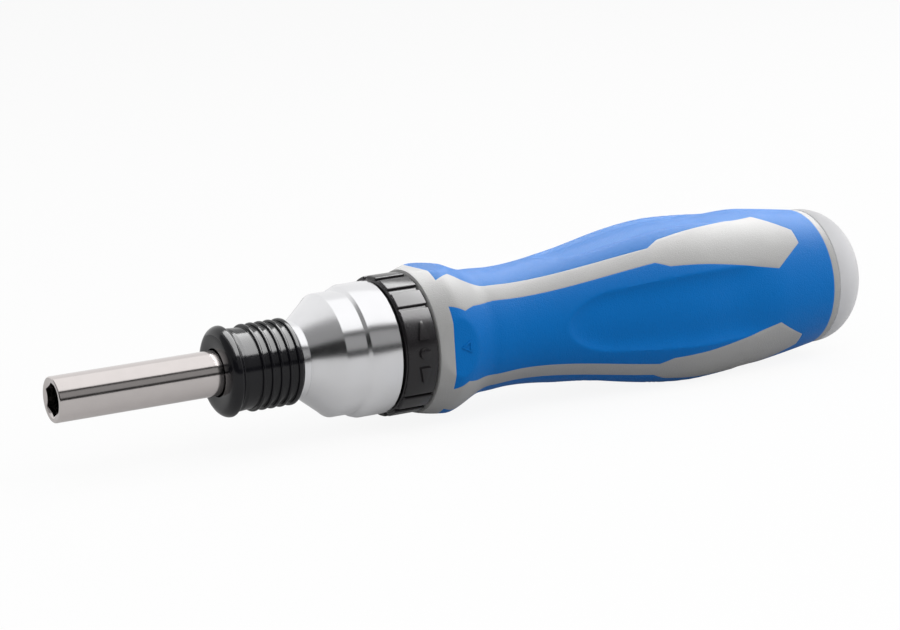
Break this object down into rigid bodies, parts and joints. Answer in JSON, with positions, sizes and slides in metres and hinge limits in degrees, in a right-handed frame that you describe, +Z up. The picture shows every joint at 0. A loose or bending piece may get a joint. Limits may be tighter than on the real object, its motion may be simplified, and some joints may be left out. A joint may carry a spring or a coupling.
{
  "type": "ratcheting screwdriver",
  "caption": "Ratcheting screwdriver: removable hex bit holder, black release collar, stepped metal nose, direction selector ring and hollow blue and grey handle with a domed end cap.",
  "frame": {"origin": "centre of the bit socket's mouth, on the tool's axis", "axes": "+X runs along the tool from the bit socket's mouth to the end cap, +Z is up, and the handle's four panels face +Y, -Y, +Z and -Z"},
  "size_m": [0.2007, 0.0364, 0.0364],
  "materials": {
    "polished_steel": "polished",
    "black_aluminium": "black anodised, satin",
    "satin_aluminium": "satin, fine turned",
    "steel": "machined",
    "bronze": "sintered",
    "black_plastic": "satin moulded",
    "grey_plastic": "satin moulded",
    "cap_plastic": "satin moulded",
    "blue_grip": "fine moulded grain",
    "black_rubber": "smooth"
  },
  "bodies": {
    "handle": {"handle_core": "grey_plastic", "grip": "blue_grip", "nose_housing": "satin_aluminium", "front_bushing": "bronze", "thrust_washer": "steel", "pawl_cover_plate": "steel", "pawl_pins": "steel", "pawl_springs": "steel", "ratchet_body": "steel", "detent_spring": "steel"},
    "spindle": {"spindle": "steel", "ratchet_gear": "steel", "spindle_circlip": "steel", "collar_stop_ring": "steel", "chuck_balls": "steel", "collar_spring": "steel"},
    "collar": {"release_collar": "black_aluminium"},
    "holder": {"bit_holder": "polished_steel", "bit_magnet": "steel"},
    "selector": {"selector_ring": "black_plastic", "selector_cam": "steel"},
    "forward_pawl": {"pawl_forward": "steel"},
    "reverse_pawl": {"pawl_reverse": "steel"},
    "cap": {"end_cap": "cap_plastic", "cap_seal": "black_rubber"}
  },
  "joints": [
    {"name": "spindle_spin", "type": "hinge", "parent": "handle", "child": "spindle", "pos_m": [0, 0, 0], "axis": [1, 0, 0], "continuous": true},
    {"name": "collar_slide", "type": "slide", "parent": "spindle", "child": "collar", "axis": [-1, 0, 0], "range_m": [0, 0.0025], "stiffness_N_per_m": 600, "springref_m": -0.003, "deforming": ["collar_spring"]},
    {"name": "holder_pull", "type": "slide", "parent": "spindle", "child": "holder", "axis": [-1, 0, 0], "range_m": [0, 0.022]},
    {"name": "selector_turn", "type": "hinge", "parent": "handle", "child": "selector", "pos_m": [0, 0, 0], "axis": [1, 0, 0], "range_deg": [-18, 18], "deforming": ["detent_spring"]},
    {"name": "forward_pawl_tilt", "type": "hinge", "parent": "handle", "child": "forward_pawl", "pos_m": [0.068, 0.00636, 0.00636], "axis": [1, 0, 0], "range_deg": [-8.8, 8.8], "deforming": ["pawl_springs"]},
    {"name": "reverse_pawl_tilt", "type": "hinge", "parent": "handle", "child": "reverse_pawl", "pos_m": [0.068, -0.00636, 0.00636], "axis": [1, 0, 0], "range_deg": [-8.8, 8.8], "deforming": ["pawl_springs"]},
    {"name": "cap_pull", "type": "slide", "parent": "handle", "child": "cap", "axis": [1, 0, 0], "range_m": [0, 0.03]}
  ],
  "couplings": [
    {"joint": "forward_pawl_tilt", "follows": "selector_turn", "ratio": -0.48889},
    {"joint": "reverse_pawl_tilt", "follows": "selector_turn", "ratio": -0.48889}
  ]
}
